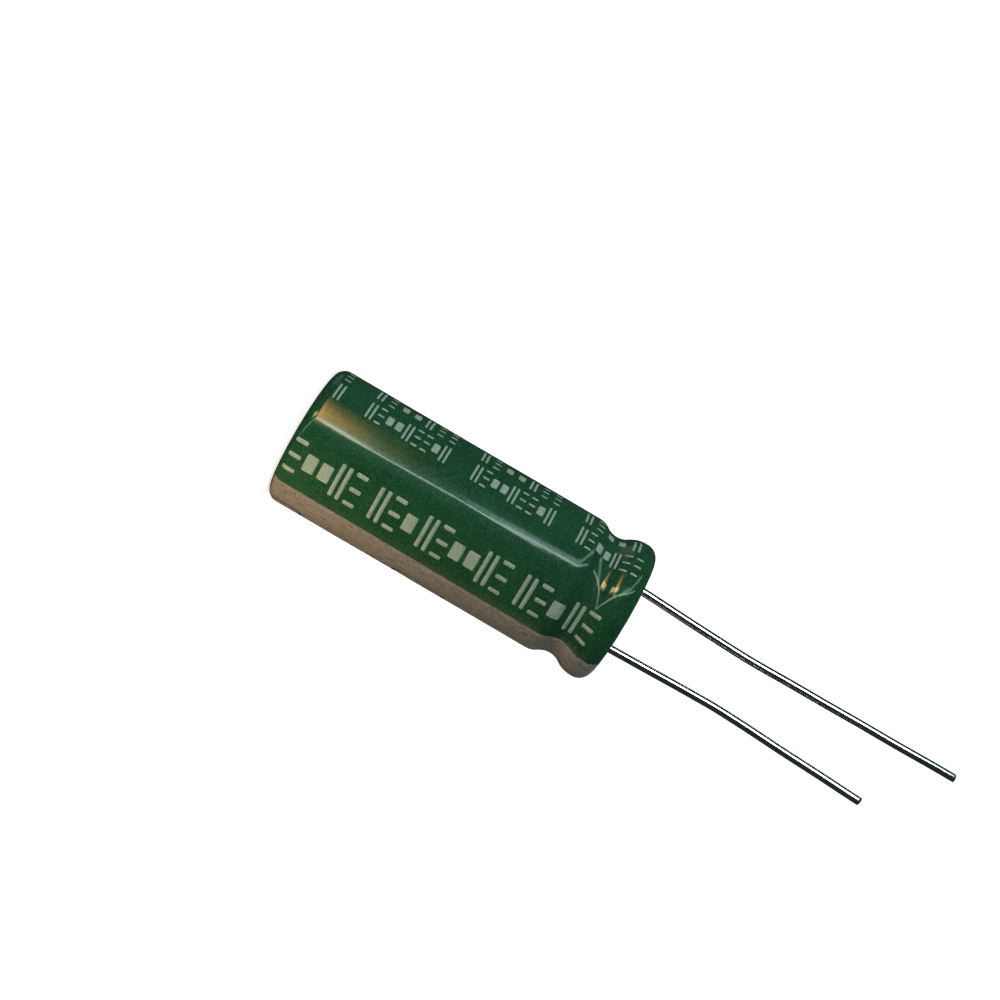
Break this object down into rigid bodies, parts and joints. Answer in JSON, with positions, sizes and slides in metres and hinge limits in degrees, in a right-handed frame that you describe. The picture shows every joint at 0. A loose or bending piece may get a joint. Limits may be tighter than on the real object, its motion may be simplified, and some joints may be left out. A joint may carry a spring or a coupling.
{
  "type": "electrolytic capacitor",
  "caption": "Radial aluminium electrolytic capacitor: drawn can in a glossy green printed shrink sleeve, rolled groove, polarity stripe and stiff tinned leads.",
  "frame": {"origin": "centre of the closed end, on the plane that the sleeve rests on", "axes": "+Z along the can's axis towards the leads, +X towards the negative lead and the polarity stripe"},
  "size_m": [0.0106, 0.0106, 0.0515],
  "materials": {
    "sleeve_film": "glossy shrink film",
    "stripe_ink": "glossy grey ink on film",
    "mark_ink": "glossy pale ink on film",
    "can_metal": "drawn aluminium",
    "bung_rubber": "moulded rubber",
    "lead_tin": "tinned wire",
    "tab_metal": "bright aluminium",
    "etched_foil": "etched and oxidised",
    "plain_foil": "plain foil",
    "separator_paper": "soaked kraft paper",
    "tape_film": "brown film tape"
  },
  "bodies": {
    "root": {"shrink_sleeve": "sleeve_film", "aluminium_can": "can_metal", "rubber_bung": "bung_rubber", "anode_lead": "lead_tin", "cathode_lead": "lead_tin", "anode_tab": "tab_metal", "cathode_tab": "tab_metal", "anode_foil": "etched_foil", "cathode_foil": "plain_foil", "inner_separator": "separator_paper", "outer_separator": "separator_paper", "winding_tape": "tape_film", "polarity_stripe": "stripe_ink", "printed_marks": "mark_ink"}
  },
  "joints": []
}
